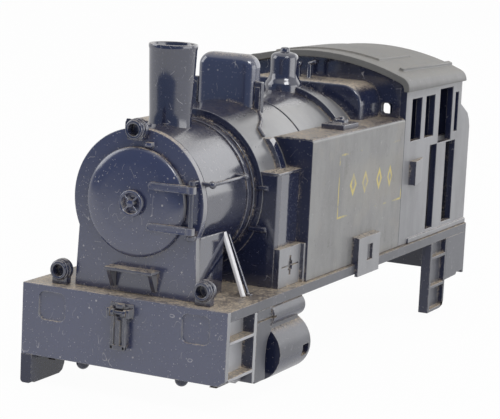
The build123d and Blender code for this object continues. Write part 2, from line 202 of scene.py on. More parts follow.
# %% Sockets as numbers
class Value:
    """A node's output, which adds a Math node wherever it is used as a number."""

    def __init__(self, nodes, socket):
        self.nodes = nodes
        self.socket = socket

    def maths(self, operation, *items, clamp=False):
        settings = {"operation": operation, "use_clamp": clamp}
        return self.nodes.node("ShaderNodeMath", settings, dict(enumerate(items)))

    def __add__(self, other):
        return self.maths("ADD", self, other)

    __radd__ = __add__

    def __mul__(self, other):
        return self.maths("MULTIPLY", self, other)

    __rmul__ = __mul__

    def __sub__(self, other):
        return self.maths("SUBTRACT", self, other)

    def __rsub__(self, other):
        return self.maths("SUBTRACT", other, self)

    def __truediv__(self, other):
        return self.maths("DIVIDE", self, other)

    def __lt__(self, other):
        return self.maths("LESS_THAN", self, other)

    def __abs__(self):
        return self.maths("ABSOLUTE", self)

    def clamp(self):
        return self.maths("ADD", self, 0.0, clamp=True)

    def most(self, other):
        return self.maths("MAXIMUM", self, other)


print("sockets add up")

# %% [markdown]
# `Nodes` wraps a whole tree. Beside the method that adds any node it has the three that masks need most: the
# parts of a vector, a soft step, and a mix of two colours.

# %% Node trees
class Nodes:
    """A node tree that is written as expressions."""

    def __init__(self, tree):
        self.tree = tree
        self.tree.nodes.clear()

    def node(self, kind, settings=None, sockets=None, out=0):
        """Adds a node, and gives its output called out, or a list for several."""
        made = self.tree.nodes.new(kind)
        for key, value in (settings or {}).items():
            setattr(made, key, value)
        for key, value in (sockets or {}).items():
            if isinstance(value, Value):
                self.tree.links.new(value.socket, made.inputs[key])
            else:
                made.inputs[key].default_value = value
        if isinstance(out, tuple):
            return [Value(self, made.outputs[key]) for key in out]
        return Value(self, made.outputs[out]) if made.outputs else None

    def split(self, vector):
        return self.node("ShaderNodeSeparateXYZ", None, {0: vector}, out=(0, 1, 2))

    def step(self, value, low, high):
        """0 below low, 1 above high, and a soft slope between them."""
        return self.node("ShaderNodeMapRange", {"interpolation_type": "SMOOTHSTEP"},
                         {"Value": value, "From Min": low, "From Max": high})

    def mix(self, mask, first, second):
        return self.node("ShaderNodeMix", {"data_type": "RGBA"}, {0: mask, 6: first, 7: second}, out=2)


print("node trees ready")

# %% [markdown]
# `Paint` is the tree of one material. It reads the object's own coordinates, so that a pattern stays on a
# piece that moves, and offers them in millimetres like all sizes here. Its two patterns are soft noise and
# small round dots.

# %% Materials
class Paint(Nodes):
    """One material, with the object's own coordinates in millimetres as x, y and z."""

    def __init__(self, name):
        self.material = bpy.data.materials.new(name)
        self.material.use_nodes = True
        super().__init__(self.material.node_tree)
        self.points = self.node("ShaderNodeTexCoord", out="Object")
        self.normal = self.node("ShaderNodeTexCoord", out="Normal")
        across, along, upwards = self.split(self.points)
        self.x = across * PER_METRE
        self.y = (along - DATUM.y) * PER_METRE
        self.z = (upwards - DATUM.z) * PER_METRE

    def noise(self, per_mm, detail=3.0, rough=0.55, stretch=(1, 1, 1), shift=0.0):
        """Soft noise, with so many lumps to a millimetre."""
        scaled = self.node("ShaderNodeVectorMath", {"operation": "MULTIPLY"},
                           {0: self.points, 1: [PER_METRE * per_mm * s for s in stretch]})
        moved = self.node("ShaderNodeVectorMath", {"operation": "ADD"}, {0: scaled, 1: (shift, shift, shift)})
        return self.node("ShaderNodeTexNoise", None,
                         {"Vector": moved, "Scale": 1.0, "Detail": detail, "Roughness": rough})

    def dots(self, per_mm, size, share):
        """Small round specks: a share of the cells of a Voronoi pattern hold one."""
        scaled = self.node("ShaderNodeVectorMath", {"operation": "SCALE"},
                           {0: self.points, "Scale": PER_METRE * per_mm})
        distance, colour = self.node("ShaderNodeTexVoronoi", None, {"Vector": scaled, "Scale": 1.0},
                                     out=("Distance", "Color"))
        return (distance < size) * (self.split(colour)[0] < share)


print("materials ready")

# %% [markdown]
# ## The finishes
# Everything on the real shell is one black plastic, with a blue cast where it is glossy. What differs is
# its history: flat fronts are scratched and specked, tops hold pale dust, tank and cab sides were rubbed
# grey by fingers, and every sharp edge is polished a little lighter. Over the rubbing lies a painted sheen on
# every face that looks sideways, and over the polish a painted highlight on the edges. Each of these marks is
# a mask, made by its own short function, so that a finish can take as much of it as it needs. The rubbed,
# sheen-painted sides first.

# %% Rubbed sides with a painted sheen
def tinted(colour, factor=1.0, lift=0.0):
    """A colour made paler or darker, with its alpha."""
    return (*[c * factor + lift for c in colour], 1)


def rubbed_and_sheen_sides(paint, turn, amount):
    """Where fingers went, with a painted sheen: faces turned sideways, but not those that look down."""
    sideways, _, upwards = paint.split(paint.normal)
    return paint.step(abs(sideways), *turn) * paint.step(upwards, -0.30, 0.0) * amount


def rubbed_and_sheen_colour(paint, side, cloud):
    """Broad and uneven, slightly streaked downwards."""
    streak = paint.noise(0.28, 4, 0.65, stretch=(1, 1, 0.22), shift=3)
    worn = paint.step(streak * 0.5 + cloud * 0.5, 0.26, 0.66)
    return paint.mix(worn, tinted(side, 0.80), tinted(side, 1.18))


print("rubbing ready")

# %% [markdown]
# Scratches are hard to draw one by one, but the contour lines of a smooth noise are thin and curved, and a
# second noise cuts them into short pieces. Lint lies in a few cells of a Voronoi pattern. An edge is where
# the Bevel node's rounded normal turns away from the plain one; it is made lighter both as polish and as a
# painted highlight.

# %% Scratches, lint, and polished edges with a painted highlight
LINT = (0.52, 0.50, 0.50, 1)
EDGE_WEAR_AND_HIGHLIGHT = (0.36, 0.345, 0.33, 1)
EDGE_REACH = 0.24 * MM


def hairlines(paint, amount):
    """Short thin scratches."""
    lines = paint.noise(0.62, 0.0, 0.4, stretch=(1.0, 1.0, 0.8), shift=11)
    thin = 1 - paint.step(abs(lines - 0.5), 0.003, 0.009)
    patch = paint.step(paint.noise(0.50, 2, 0.5, shift=23), 0.585, 0.61)
    return (thin * patch * amount).clamp()


def specks_of_lint(paint, amount):
    """Lint and tiny chips in three sizes, the smallest ones faintest."""
    coarse = paint.dots(0.66, 0.10, 0.34)
    finer = paint.dots(1.5, 0.14, 0.34) * 0.7
    finest = paint.dots(2.7, 0.22, 0.30) * 0.45
    return (coarse + finer + finest).clamp() * amount


def worn_and_highlit_edges(paint, fine, amount):
    """Every sharp edge, polished and with a painted highlight, but patchy."""
    rounded = paint.node("ShaderNodeBevel", {"samples": 4}, {"Radius": EDGE_REACH})
    plain = paint.node("ShaderNodeNewGeometry", out="Normal")
    alike = paint.node("ShaderNodeVectorMath", {"operation": "DOT_PRODUCT"}, {0: rounded, 1: plain},
                       out="Value")
    return (paint.step(1 - alike, 0.02, 0.14) * paint.step(fine, 0.40, 0.58) * amount).clamp()


print("scratches, lint and edges ready")

# %% [markdown]
# Dust lies on whatever faces up, and gathers in clumps in the nooks, where the Ambient Occlusion node finds
# the surface sheltered. Fine grit breaks the film up, because real dust is never even.

# %% Dust
DUST = (0.60, 0.50, 0.37, 1)
NOOK_REACH = 1.1 * MM


def settled_dust(paint, cloud, fine, grit, tops, nooks):
    up = paint.step(paint.split(paint.normal)[2], 0.60, 0.97)
    settled = paint.step(fine * 0.45 + cloud * 0.55, 0.36, 0.60)
    shelter = 1 - paint.node("ShaderNodeAmbientOcclusion", {"samples": 6}, {"Distance": NOOK_REACH}, out="AO")
    clumps = paint.step(paint.noise(0.42, 3, 0.65, shift=83), 0.46, 0.60)
    nook = paint.step(shelter + (grit - 0.5) * 0.9, 0.36, 0.62) * (0.12 + clumps * 0.88) * nooks
    film = (up * (0.32 + settled * 0.68) * tops + nook).clamp()
    return film * (0.36 + paint.step(grit, 0.42, 0.58) * 0.64)


print("dust ready")

# %% [markdown]
# `plastic` lays the marks over each other in this order: the moulding's own colour, the rubbing of fingers
# together with a painted sheen on sideways faces, scratches and lint, polished edges with a painted
# highlight, and dust last of all. Marks also change how rough the surface is and give it a little relief.
# `shine` is the bare plastic's roughness, lower being glossier, `side` is the colour of the rubbed,
# sheen-painted sides,
# `turn` says how far sideways a face looks before it counts as one, and `extra` adds the marks of one piece
# only.

# %% One recipe for the moulded plastic
SIDE_ROUGHNESS = 0.40
RELIEF = 0.05 * MM


def plastic(name, colour, shine, side=None, sides=0.9, turn=(0.62, 0.86), dust=0.5, nooks=0.6, specks=0.5,
            scratches=0.5, edges=0.5, grain=0.25, ior=2.0, extra=None):
    paint = Paint(name)
    cloud = paint.noise(0.09, 4, 0.6)
    fine = paint.noise(1.1, 3, 0.6, shift=7)
    grit = paint.noise(3.4, 2, 0.7, shift=31)
    base = paint.mix(cloud * 0.6, tinted(colour), tinted(colour, 1.7, 0.004))
    rough = shine + (fine - 0.5) * 0.08
    # sideways faces take the rubbed grey of side, with a painted sheen
    if side:
        rub_and_sheen = rubbed_and_sheen_sides(paint, turn, sides)
        base = paint.mix(rub_and_sheen, base, rubbed_and_sheen_colour(paint, side, cloud))
        rough = rough + rub_and_sheen * (SIDE_ROUGHNESS - shine)
    hair = hairlines(paint, scratches)
    spots = specks_of_lint(paint, specks)
    base = paint.mix((hair * 0.6 + spots * 0.62).clamp(), base, LINT)
    # sharp edges are polished lighter and carry a painted highlight
    edge = worn_and_highlit_edges(paint, fine, edges)
    base = paint.mix(edge, base, EDGE_WEAR_AND_HIGHLIGHT)
    film = settled_dust(paint, cloud, fine, grit, dust, nooks)
    base = paint.mix(film, base, DUST)
    rough = (rough + film * 0.5 + spots * 0.2 + edge * 0.1).clamp()
    height = paint.noise(2.2, 3, 0.6, shift=5) * grain + hair * -0.5 + spots * 0.4 + film * grit * 0.9
    if extra:
        base, rough, height = extra(paint, base, rough, height)
    bump = paint.node("ShaderNodeBump", None, {"Strength": 0.35, "Distance": RELIEF, "Height": height})
    shader = paint.node("ShaderNodeBsdfPrincipled", None,
                        {"Base Color": base, "Roughness": rough, "IOR": ior, "Normal": bump})
    paint.node("ShaderNodeOutputMaterial", None, {"Surface": shader})
    return paint.material


print("plastic recipe ready")

# %% [markdown]
# The tank sides carry what is left of their lining: a thin yellow rectangle worn away but for its corners,
# and a row of plain lozenges, with smears where the gloss has gone. All of it is drawn from the piece's own
# coordinates, as distances to lines.

# %% Worn lining on the tank sides
GOLD = (0.62, 0.50, 0.12, 1)
TANK_FACE = 16.2
LINING_MIDDLE = (50.7, 13.35)
LINING_HALF = (12.9, 4.95)
LOZENGES = (43.4, 48.2, 53.9, 58.4)
LOZENGE_HEIGHT = 1.75


def gold_lines(paint):
    """The lining's corners and the lozenges, each one a little narrower and lower than the last."""
    wear = paint.noise(0.33, 4, 0.7, shift=41)
    off_middle = abs(paint.y - LINING_MIDDLE[0])
    outside = (off_middle - LINING_HALF[0]).most(abs(paint.z - LINING_MIDDLE[1]) - LINING_HALF[1])
    line = 1 - paint.step(abs(outside), 0.09, 0.20)
    kept = paint.step(paint.step(off_middle, 5.0, 12.0) * 0.22 + wear, 0.62, 0.80)
    lost_corner = paint.step(paint.y, 60.5, 62.5) * paint.step(paint.z, 9.5, 11.0)
    mask = line * (kept * (1 - lost_corner))
    for number, y in enumerate(LOZENGES):
        width = 1.25 - 0.1 * number
        z = 13.1 - 0.12 * number
        shape = abs(paint.y - y) / width + abs(paint.z - z) / LOZENGE_HEIGHT
        ring = 1 - paint.step(abs(shape - 0.80), 0.20, 0.36)
        mask = mask + ring * (0.35 + paint.step(wear + 0.05 * number, 0.44, 0.58) * 0.65)
    return mask


def tank_marks(paint, base, rough, height):
    on_side = paint.step(abs(paint.x), TANK_FACE, TANK_FACE + 0.1)
    mask = (gold_lines(paint) * on_side).clamp()
    ghost = (1 - paint.step(abs(paint.y - 51), 10.5, 12.5)) * (1 - paint.step(abs(paint.z - 12.8), 2.6, 4.6))
    base = paint.mix(ghost * on_side * 0.16, base, (0.30, 0.28, 0.22, 1))
    base = paint.mix(mask * 0.88, base, GOLD)
    # smears, nicks and fine stains where the surface was handled most
    smear = paint.step(paint.noise(0.20, 5, 0.75, stretch=(1, 1.2, 1), shift=52), 0.56, 0.72) * on_side
    stain = paint.step(paint.noise(1.6, 4, 0.75, stretch=(1, 0.6, 1), shift=61), 0.60, 0.68) * on_side
    warm = paint.step(paint.noise(0.16, 3, 0.6, shift=71), 0.50, 0.62) * on_side
    base = paint.mix(warm * 0.22, base, (0.30, 0.27, 0.23, 1))
    base = paint.mix((smear * 0.28 + stain * 0.30).clamp(), base, (0.10, 0.097, 0.095, 1))
    return base, (rough + smear * 0.1 + mask * 0.1).clamp(), height + mask * 0.4 + smear * 0.5


print(len(LOZENGES), "lozenges in the lining")

# %% [markdown]
# Now the finishes themselves. The glossy ones belong to the boiler, the turned and the small pieces, which
# hands hardly reach: of these only boiler and smokebox have a little of the `side` colour, which on them is a
# painted sheen on their flanks.

# %% Glossy finishes
GLOSS = (0.014, 0.018, 0.044)
SATIN = (0.026, 0.033, 0.080)

paint_black = plastic("black_gloss", GLOSS, 0.11, dust=0.10, nooks=0.9, specks=0.25)
paint_small = plastic("black_small", GLOSS, 0.16, dust=0.4, nooks=0.25, specks=0.3, scratches=0.3, edges=0.9)
paint_hinge = plastic("black_hinge", GLOSS, 0.16, dust=0.4, nooks=0.2, specks=0.4, scratches=0.3, edges=0.35)
paint_tall = plastic("black_tall", GLOSS, 0.12, dust=0.35, nooks=0.5, specks=0.45, scratches=1.0, edges=0.8)
paint_hump = plastic("black_hump", GLOSS, 0.14, dust=1.2, specks=0.6, scratches=0.4, edges=0.6)
# the side colour of smokebox and boiler is a painted sheen on their flanks
paint_barrel = plastic("black_barrel", GLOSS, 0.08, side=(0.20, 0.20, 0.205), sides=0.20, turn=(0.30, 0.45),
                       dust=0.15, nooks=0.8, specks=0.35, scratches=0.4, edges=0.7)
paint_boiler = plastic("black_boiler", GLOSS, 0.12, side=(0.27, 0.27, 0.265), sides=0.60, turn=(0.34, 0.50),
                       dust=0.15, nooks=0.9, specks=0.25, scratches=0.3, edges=0.6)
paint_column = plastic("black_column", GLOSS, 0.06, dust=1.4, nooks=0.9, specks=0.8, scratches=0.3,
                       edges=0.9, ior=2.6)
paint_dome = plastic("black_dome", (0.029, 0.037, 0.078), 0.13, nooks=0.7, scratches=0.8, edges=0.7)
paint_far = plastic("black_far", GLOSS, 0.26, dust=0.9, nooks=0.15, edges=0.7, ior=1.6)
print("glossy finishes ready")

# %% [markdown]
# The flat outer pieces were held again and again, and their sides are rubbed to a grey, with a painted
# sheen over it, that differs a little from one to the next. The roof is matt all over, and the stay is
# painted near white. The record's material slots say which finish a node gets when nothing else is asked for.

# %% Rubbed and sheen-painted finishes
# the side colours here are rubbed grey with a painted sheen on every sideways face
paint_front = plastic("black_front", SATIN, 0.19, side=(0.25, 0.25, 0.26), dust=1.0, nooks=0.5, specks=0.95,
                      scratches=1.0, edges=0.7, grain=0.35)
paint_beam = plastic("black_beam", (0.029, 0.037, 0.088), 0.26, side=(0.24, 0.245, 0.26), dust=1.1,
                     specks=1.0, scratches=1.0, edges=1.0, grain=0.45)
paint_box = plastic("black_box", GLOSS, 0.16, side=(0.24, 0.243, 0.255), dust=1.2, nooks=0.9, specks=0.7,
                    edges=0.8)
paint_tank = plastic("black_tank", GLOSS, 0.20, side=(0.235, 0.234, 0.228), dust=0.9, nooks=0.4, specks=0.35,
                     edges=0.7, grain=0.6, ior=1.6, extra=tank_marks)
paint_cab = plastic("black_cab", GLOSS, 0.18, side=(0.275, 0.277, 0.287), dust=0.6, nooks=0.35, specks=0.2,
                    scratches=0.3, edges=0.4, ior=1.6)
paint_bunker = plastic("black_bunker", GLOSS, 0.18, side=(0.22, 0.222, 0.23), dust=0.6, nooks=0.35,
                       specks=0.2, scratches=0.3, edges=0.4, ior=1.6)
paint_roof = plastic("black_roof", (0.125, 0.125, 0.12), 0.45, side=(0.12, 0.12, 0.12), dust=0.15, nooks=0.2,
                     specks=0.3, scratches=0.3, edges=0.35, grain=0.6, ior=1.5)
paint_frame = plastic("black_frame", GLOSS, 0.22, side=(0.105, 0.108, 0.120), sides=0.8, dust=1.3,
                      nooks=0.7, edges=0.9, ior=1.6)
# the near front step: the palest painted sheen on its sides
paint_step = plastic("black_step", GLOSS, 0.22, side=(0.42, 0.425, 0.44), dust=1.3, nooks=1.3, specks=0.6,
                     edges=0.9, ior=1.8)
# the stay: painted near white all over
paint_bright = plastic("stay_near_white", (0.74, 0.74, 0.75), 0.28, dust=0.1, nooks=0.1, specks=0.1,
                       scratches=0.2, edges=0.2, ior=1.5)

SLOT_PAINT = {"tank_plastic": paint_tank, "cab_plastic": paint_cab, "roof_plastic": paint_roof,
              "boiler_plastic": paint_black, "front_plastic": paint_front, "frame_plastic": paint_frame,
              "fitting_plastic": paint_box}
slot_of = {part["node"]: part["material_slot"] for part in frame["record"]["subparts"]}
body_of = {node: body for body, nodes in frame["record"]["behaviour"]["bodies"].items() for node in nodes}
print(len(SLOT_PAINT), "slots for", len(slot_of), "nodes")

# %% [markdown]
# Every piece ends in the same way. `dress` gives it its one finish and hangs it on the body on which it
# rides, so that the door's pieces swing with the door. `finish` takes the finish of the node's slot when none
# is given, and hides the node that the piece stands for.

# %% Dressing a piece
def dress(piece, node, paint):
    piece.data.materials.clear()
    piece.data.materials.append(paint)
    for polygon in piece.data.polygons:
        polygon.material_index = 0
    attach(piece, body_of[node])


def finish(piece, node, paint=None):
    dress(piece, node, paint or SLOT_PAINT[slot_of[node]])
    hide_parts(node)
    print(piece.name, len(piece.data.polygons), "faces")


# %% [markdown]
# ## Plain walls
# Plates, tanks, cab and cylinders have their true shape in CAD already, but a moulding never has a perfectly
# sharp edge, and it is the small round on each edge that catches the light. Each wall is a copy of its node:
# the loose triangles are merged, the flat faces joined up again, and a fine bevel put on the sharp edges.
# On nodes with small features the bevel is clamped, so that it can't run over them.

# %% Soft-edged copies of the plain walls
FLAT = math.radians(0.6)


def wall(node, width, paint=None, clamp=False):
    choose(frame["nodes"][node])
    bpy.ops.object.duplicate()
    piece = bpy.context.object
    piece.parent = None
    piece.name = "wall_" + node
    edit(piece)
    bpy.ops.mesh.select_all(action="SELECT")
    bpy.ops.mesh.remove_doubles(threshold=WELD)
    bpy.ops.mesh.dissolve_limited(angle_limit=FLAT)
    done()
    piece.data.validate()
    soften_edges(piece, width, clamp=clamp)
    smooth(piece)
    even_shading(piece)
    finish(piece, node, paint)


# %% [markdown]
# The frame, the tanks and the cab are the largest walls. Their bevels are about a tenth of a millimetre, as
# on the moulding. The near front step has the palest painted sheen of all on its sides, the far one none.

# %% Frame, tanks and cab
for node in ("rear_beam", "rear_step_near", "rear_step_far"):
    wall(node, 0.10)
wall("front_step_near", 0.10, paint_step)
wall("front_step_far", 0.08, paint_far, clamp=True)
for node in ("running_plate", "cylinder_near", "cylinder_far"):
    wall(node, 0.08, clamp=True)
wall("front_beam", 0.10, paint_beam, clamp=True)
wall("coal_bunker", 0.14, paint_bunker)
for node in ("side_tank_near", "side_tank_far", "cab_rear", "cab_roof",
             "cab_side_near", "cab_side_far", "cab_panel_near", "cab_panel_far"):
    wall(node, 0.14)
wall("cab_front", 0.12, paint_tall)

# %% [markdown]
# The round walls of smokebox and boiler keep their shape too. The saddle and the steam columns have the
# highest gloss, since only a mirror shows the dark and pale strips that such upright faces have.

# %% Smokebox, boiler and the boxes beside them
wall("smokebox_front", 0.12)
wall("smokebox_saddle", 0.12, paint_column)
for node in ("smokebox_barrel", "smokebox_ring"):
    wall(node, 0.12, paint_barrel)
for node in ("boiler_barrel", "boiler_band"):
    wall(node, 0.12, paint_boiler)
wall("frame_wall", 0.12, paint_black)
for node in ("steam_column_near", "steam_column_far"):
    wall(node, 0.09, paint_column)
wall("smokebox_step", 0.09)
for node in ("valve_chest_near", "valve_chest_far", "lower_step_box_near", "lower_step_box_far",
             "upper_step_box_near", "upper_step_box_far", "coupling_hook"):
    wall(node, 0.06, clamp=True)

# %% [markdown]
# ## Turned pieces
# Chimney, lamps, valve casing and door were turned on a lathe before they were moulded. The same is done
# here: a circle is added, then extruded and scaled ring by ring along the profile, as one would by hand.
# Profiles give radius and height. A last ring of radius 0 closes the piece in a point, and a hollow piece
# is bridged from its last ring to its first. `forward` lays the axis along the locomotive, to the front.

# %% The lathe
POINT = 0.00004
POINT_WELD = 1e-7


def extruded_rings(rings, sides):
    """A circle, extruded and scaled to each ring of (radius, height) in turn."""
    radius, height = rings[0]
    bpy.ops.mesh.primitive_circle_add(vertices=sides, radius=radius * MM, location=(0, 0, height * MM),
                                      fill_type="NOTHING")
    piece = bpy.context.object
    settle(piece)
    edit(piece, "VERT")
    bpy.ops.mesh.select_all(action="SELECT")
    for wide, high in rings[1:]:
        bpy.ops.mesh.extrude_region_move(TRANSFORM_OT_translate={"value": (0, 0, (high - height) * MM)})
        factor = wide / radius
        bpy.ops.transform.resize(value=(factor, factor, 1), center_override=(0, 0, high * MM))
        radius, height = wide, high
    bpy.ops.mesh.remove_doubles(threshold=POINT_WELD)
    done()
    return piece


def turned(name, rings, centre, forward=False, sides=64, hollow=False, angle=38):
    clear()
    piece = extruded_rings([(max(wide, POINT), high) for wide, high in rings], sides)
    piece.name = name
    pick(piece, "edges", lambda e: e.is_boundary)
    if hollow:
        bpy.ops.mesh.bridge_edge_loops()
    else:
        bpy.ops.mesh.fill_holes(sides=0)
    done()
    outwards(piece)
    smooth(piece, angle)
    if forward:
        piece.rotation_euler = (math.radians(90), 0, 0)
    piece.location = place(*centre)
    settle(piece)
    return piece


print("lathe ready")

# %% [markdown]
# Beside the lathe there are three plain tools: a box at its size and place, a box with rounded edges, and a
# round bar between two points. None of them is a piece by itself: they are shaped further, or welded.

# %% Boxes and bars
def box(name, low, high):
    clear()
    centre = [(a + b) / 2 for a, b in zip(low, high)]
    bpy.ops.mesh.primitive_cube_add(size=1, location=place(*centre))
    piece = bpy.context.object
    piece.name = name
    piece.scale = [(b - a) * MM for a, b in zip(low, high)]
    settle(piece)
    return piece


def block(name, low, high, width=0.1):
    """A box with its edges rounded."""
    piece = box(name, low, high)
    if width:
        soften_edges(piece, width, 3)
    smooth(piece)
    even_shading(piece)
    return piece


def rod(name, start, end, radius, sides=20, ends=0.0):
    """A round bar between two points, with rounded ends if asked for."""
    clear()
    a, b = place(*start), place(*end)
    turn = (b - a).to_track_quat("Z", "Y").to_euler()
    bpy.ops.mesh.primitive_cylinder_add(vertices=sides, radius=radius * MM, depth=(b - a).length,
                                        location=(a + b) / 2, rotation=turn)
    piece = bpy.context.object
    piece.name = name
    settle(piece)
    if ends:
        soften_edges(piece, ends, 3)
    smooth(piece)
    return piece


print("box, block and rod ready")

# %% [markdown]
# The chimney is a plain tube that widens a little upwards and ends in a thin lip. Its bore is open, so the
# profile goes over the lip and down inside. Its foot runs straight into the smokebox.

# %% Chimney
CHIMNEY_OUTSIDE = [(3.3, 22.6), (3.22, 24.2), (3.15, 24.8), (3.16, 26.0), (3.36, 30.6), (3.54, 35.1)]
CHIMNEY_LIP = [(3.6, 35.25), (3.62, 35.4), (3.62, 35.72), (3.57, 35.86), (3.46, 35.9), (3.18, 35.9)]
CHIMNEY_BORE = [(3.1, 35.85), (3.05, 35.7), (2.3, 27.0), (2.2, 24.6), (0, 24.5)]
chimney = turned("chimney_stack", CHIMNEY_OUTSIDE + CHIMNEY_LIP + CHIMNEY_BORE, (0, 12.05, 0), sides=72)
finish(chimney, "chimney", paint_tall)

# %% [markdown]
# The smokebox door is a shallow dome that rises in a quarter ellipse behind a narrow upright rim. The
# handwheel's spindle passes through its middle, so the profile ends in a bore and is bridged to its start.

# %% Smokebox door
DOOR_AXIS = 13.55
DOOR_BACK = local(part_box("smokebox_door")[1]).y
DOOR_RIM = [(8.0, 0.0), (8.0, 0.46), (7.98, 0.56)]
shoulder = [(5.0 + 3.0 * math.cos(math.radians(t)), 0.46 + 0.78 * math.sin(math.radians(t)))
            for t in range(12, 91, 6)]
DOOR_CROWN = [(4.2, 1.262), (3.2, 1.29), (2.2, 1.312), (1.2, 1.328), (0.62, 1.335)]
SPINDLE_BORE = [(0.56, 1.30), (0.56, 0.0)]
door = turned("door_dome", DOOR_RIM + shoulder + DOOR_CROWN + SPINDLE_BORE, (0, DOOR_BACK, DOOR_AXIS),
              forward=True, sides=96, hollow=True, angle=50)
finish(door, "smokebox_door")

# %% [markdown]
# Two long straps carry the door on its hinge. Each is a flat bar with a round nose, thinner at its rim, and
# ends in a knuckle around the pin. The nose is made by bevelling the two upright edges at that end, and the
# thin rim by an inset of the front face, which is then moved back a little.

# %% Hinge straps
HINGE = (9.4, 1.95)
STRAPS = ((15.85, 16.95), (9.9, 11.0))


def sleeve(name, inside, outside, low, high, edge):
    """A ring around the hinge pin, whose outer edges are turned down by edge (across, along)."""
    across, along = edge
    rings = [(inside, low), (outside - across, low), (outside, low + along), (outside, high - along),
             (outside - across, high), (inside, high)]
    return turned(name, rings, (*HINGE, 0), sides=32, hollow=True)


def strap_bar(low, high):
    nose = (high - low) / 2
    bar = block("strap", (3.0 - nose, 1.5, low), (HINGE[0] - 0.4, 2.5, high), 0)
    pick(bar, "edges", lambda e: middle(e).x < 3.0 - nose + 0.01 and abs(run(e).y) > 0.9)
    bpy.ops.mesh.bevel(offset=nose * 0.98 * MM, segments=10, affect="EDGES")
    done()
    pick(bar, "faces", lambda f: f.normal.y < -0.9)
    bpy.ops.mesh.inset(thickness=0.24 * MM)
    bpy.ops.transform.translate(value=(0, 0.14 * MM, 0))
    done()
    soften_edges(bar, 0.07)
    smooth(bar)
    return bar


straps = []
for low, high in STRAPS:
    straps += [strap_bar(low, high), sleeve("knuckle", 0.43, 0.65, low, high, (0.07, 0.08))]
finish(weld("hinge_straps_pair", straps), "hinge_straps")

# %% [markdown]
# The pin stands in two ears on the front plate, between two collars that keep the straps from sliding.

# %% Hinge pin and ears
PIN = [(0, 9.1), (0.3, 9.1), (0.36, 9.16), (0.36, 17.7), (0.3, 17.75), (0, 17.75)]
post = [turned("hinge_pin", PIN, (*HINGE, 0), sides=32)]
for low, high in ((17.1, 17.75), (9.1, 9.75)):
    post.append(sleeve("collar", 0.3, 0.55, low, high, (0.06, 0.07)))
    post.append(block("ear", (HINGE[0] - 0.4, HINGE[1] + 0.2, low), (HINGE[0] + 0.4, 3.35, high)))
finish(weld("hinge_pin_and_ears", post), "hinge_post", paint_hinge)

# %% [markdown]
# The handwheel has a round rim, four spokes and a domed hub. A torus makes the rim; the spokes are thin
# rods, and the hub is turned.

# %% Door handwheel
WHEEL_RADIUS = 1.72
SPOKE = 1.62

clear()
bpy.ops.mesh.primitive_torus_add(major_radius=WHEEL_RADIUS * MM, minor_radius=0.24 * MM, major_segments=56,
                                 minor_segments=12, location=place(0, 1.17, DOOR_AXIS),
                                 rotation=(math.radians(90), 0, 0))
wheel = [bpy.context.object]
settle(wheel[0])
smooth(wheel[0], 180)
for degrees in (45, 135, 225, 315):
    angle = math.radians(degrees)
    tip = (SPOKE * math.cos(angle), 1.17, DOOR_AXIS + SPOKE * math.sin(angle))
    wheel.append(rod("spoke", (0, 1.19, DOOR_AXIS), tip, 0.15, 10))
HUB = [(0.5, -1.7), (0.5, 0.05), (0.58, 0.06), (0.6, 0.5), (0.52, 0.66), (0.34, 0.74), (0, 0.76)]
wheel.append(turned("hub", HUB, (0, 1.5, DOOR_AXIS), forward=True, sides=32))
finish(weld("handwheel", wheel), "door_handwheel")

# %% [markdown]
# ## Boxes with a shape
# The sand dome is a flat-fronted box with round shoulders. It starts inside the boiler, so that it has no
# gap at its foot. The shoulders are the two upper edges that run fore and aft, bevelled wide; the rim of the
# front face is bevelled after that, and the rim of the back face a little less.

# %% Sand dome
DOME_LOW, DOME_HIGH = (-4.9, 28.7, 22.0), (4.9, 32.1, 33.4)
dome = box("sand_dome_box", DOME_LOW, DOME_HIGH)
pick(dome, "edges", lambda e: abs(run(e).y) > 0.9 and middle(e).z > 33)
bpy.ops.mesh.bevel(offset=2.1 * MM, segments=12, affect="EDGES")
done()
for face, rounding in ((DOME_LOW[1], 1.5), (DOME_HIGH[1], 0.9)):
    pick(dome, "edges", lambda e: abs(middle(e).y - face) < 0.01 and abs(run(e).y) < 0.5
         and middle(e).z > DOME_LOW[2] + 0.5)
    bpy.ops.mesh.bevel(offset=rounding * MM, segments=8, affect="EDGES", clamp_overlap=False)
    done()
outwards(dome)
smooth(dome, 60)
finish(dome, "sand_dome", paint_dome)

# %% [markdown]
# Beside the dome stands a slim valve box on each side, with a thin pipe that follows the boiler down to the
# tank. The pipe is a row of short rods with a ball at each bend. The near one is made first, then mirrored
# across the locomotive by a negative scale, after which its normals are set right.

# %% Mirroring, and balls for bends and knobs
def mirrored(piece, name):
    choose(piece)
    bpy.ops.object.duplicate()
    other = bpy.context.object
    other.name = name
    other.parent = None
    other.scale = (-1, 1, 1)
    settle(other)
    edit(other)
    bpy.ops.mesh.select_all(action="SELECT")
    bpy.ops.mesh.normals_make_consistent(inside=False)
    done()
    return other


def ball(name, centre, radius, sides=20):
    clear()
    bpy.ops.mesh.primitive_uv_sphere_add(segments=sides, ring_count=sides // 2, radius=radius * MM,
                                         location=place(*centre))
    piece = bpy.context.object
    piece.name = name
    settle(piece)
    smooth(piece, 180)
    return piece


print("mirror and ball ready")

